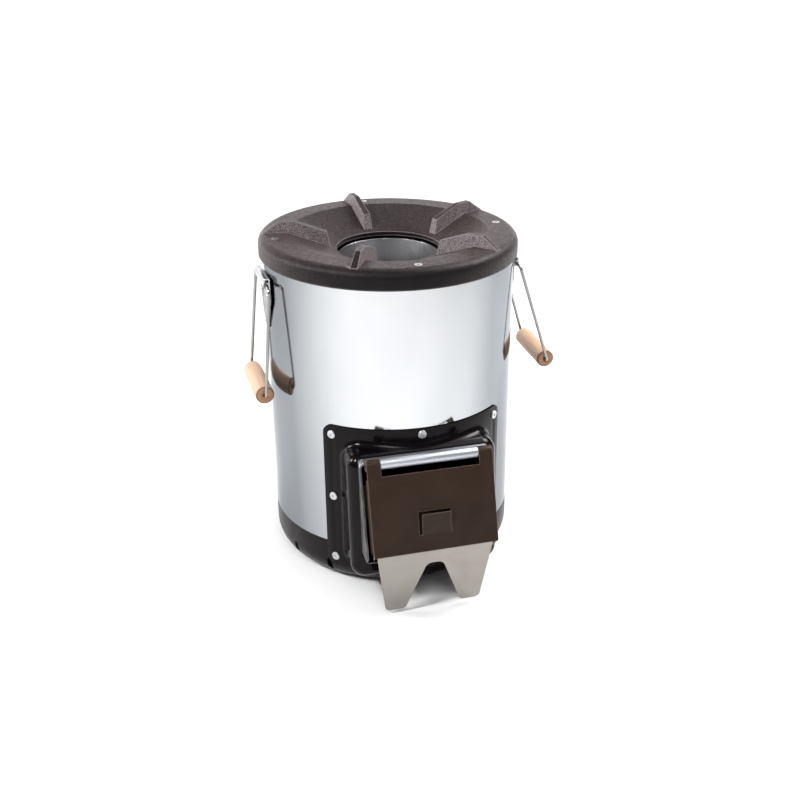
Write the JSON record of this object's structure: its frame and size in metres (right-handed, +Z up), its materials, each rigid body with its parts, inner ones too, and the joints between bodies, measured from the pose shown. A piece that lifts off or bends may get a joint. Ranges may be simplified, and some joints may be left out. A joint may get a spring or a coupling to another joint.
{
  "type": "rocket stove",
  "caption": "Wood-burning rocket stove: insulated steel shell, ribbed cast-iron top, hinged feed door, sliding fuel tray and wooden bail handles.",
  "frame": {"origin": "centre of the base pan's underside, on the ground", "axes": "+Z up along the stove's axis; the feed door faces -Y; +X is to the right when facing the door"},
  "size_m": [0.3005, 0.2913, 0.33],
  "materials": {
    "polished_stainless": "polished",
    "steel_sheet": "satin",
    "collar_stainless": "satin",
    "brushed_stainless": "satin",
    "screw_steel": "satin",
    "bracket_steel": "satin",
    "bail_steel": "satin",
    "cast_iron": "matte",
    "dark_enamel": "satin",
    "gloss_enamel": "gloss",
    "bronze_enamel": "satin",
    "fibre_wool": "matte",
    "grip_wood": "satin"
  },
  "bodies": {
    "stove": {"base_pan": "dark_enamel", "base_shield": "steel_sheet", "bottom_insulation": "fibre_wool", "lower_insulation": "fibre_wool", "upper_insulation": "fibre_wool", "insulation_cover": "steel_sheet", "outer_shell": "polished_stainless", "shell_top_ring": "steel_sheet", "burn_chamber": "steel_sheet", "chimney_tube": "steel_sheet", "cast_top": "cast_iron", "top_screws": "screw_steel", "top_nuts": "screw_steel", "feed_housing": "gloss_enamel", "housing_screws": "screw_steel", "housing_nuts": "screw_steel", "feed_collar": "collar_stainless", "left_bracket": "bracket_steel", "left_bracket_rivets": "bracket_steel", "right_bracket": "bracket_steel", "right_bracket_rivets": "bracket_steel"},
    "door": {"door_panel": "bronze_enamel", "hinge_rod": "steel_sheet"},
    "tray": {"fuel_tray": "brushed_stainless"},
    "left_bail": {"left_bail": "bail_steel"},
    "right_bail": {"right_bail": "bail_steel"},
    "left_grip": {"left_grip": "grip_wood"},
    "right_grip": {"right_grip": "grip_wood"}
  },
  "joints": [
    {"name": "door_hinge", "type": "hinge", "parent": "stove", "child": "door", "pos_m": [0, -0.141, 0.1505], "axis": [-1, 0, 0], "range_deg": [0, 165]},
    {"name": "tray_slide", "type": "slide", "parent": "stove", "child": "tray", "axis": [0, -1, 0], "range_m": [0, 0.125]},
    {"name": "left_bail_hinge", "type": "hinge", "parent": "stove", "child": "left_bail", "pos_m": [-0.12069, -0.00527, 0.2836], "axis": [-0.0436, 0.999, 0], "range_deg": [-2, 174.6]},
    {"name": "right_bail_hinge", "type": "hinge", "parent": "stove", "child": "right_bail", "pos_m": [0.12079, -0.00105, 0.2836], "axis": [-0.0087, -1, 0], "range_deg": [-13.6, 163]},
    {"name": "left_grip_spin", "type": "hinge", "parent": "left_bail", "child": "left_grip", "pos_m": [-0.13028, -0.00569, 0.18205], "axis": [-0.0436, 0.999, 0], "continuous": true},
    {"name": "right_grip_spin", "type": "hinge", "parent": "right_bail", "child": "right_grip", "pos_m": [0.15062, -0.00131, 0.18606], "axis": [-0.0087, -1, 0], "continuous": true}
  ]
}
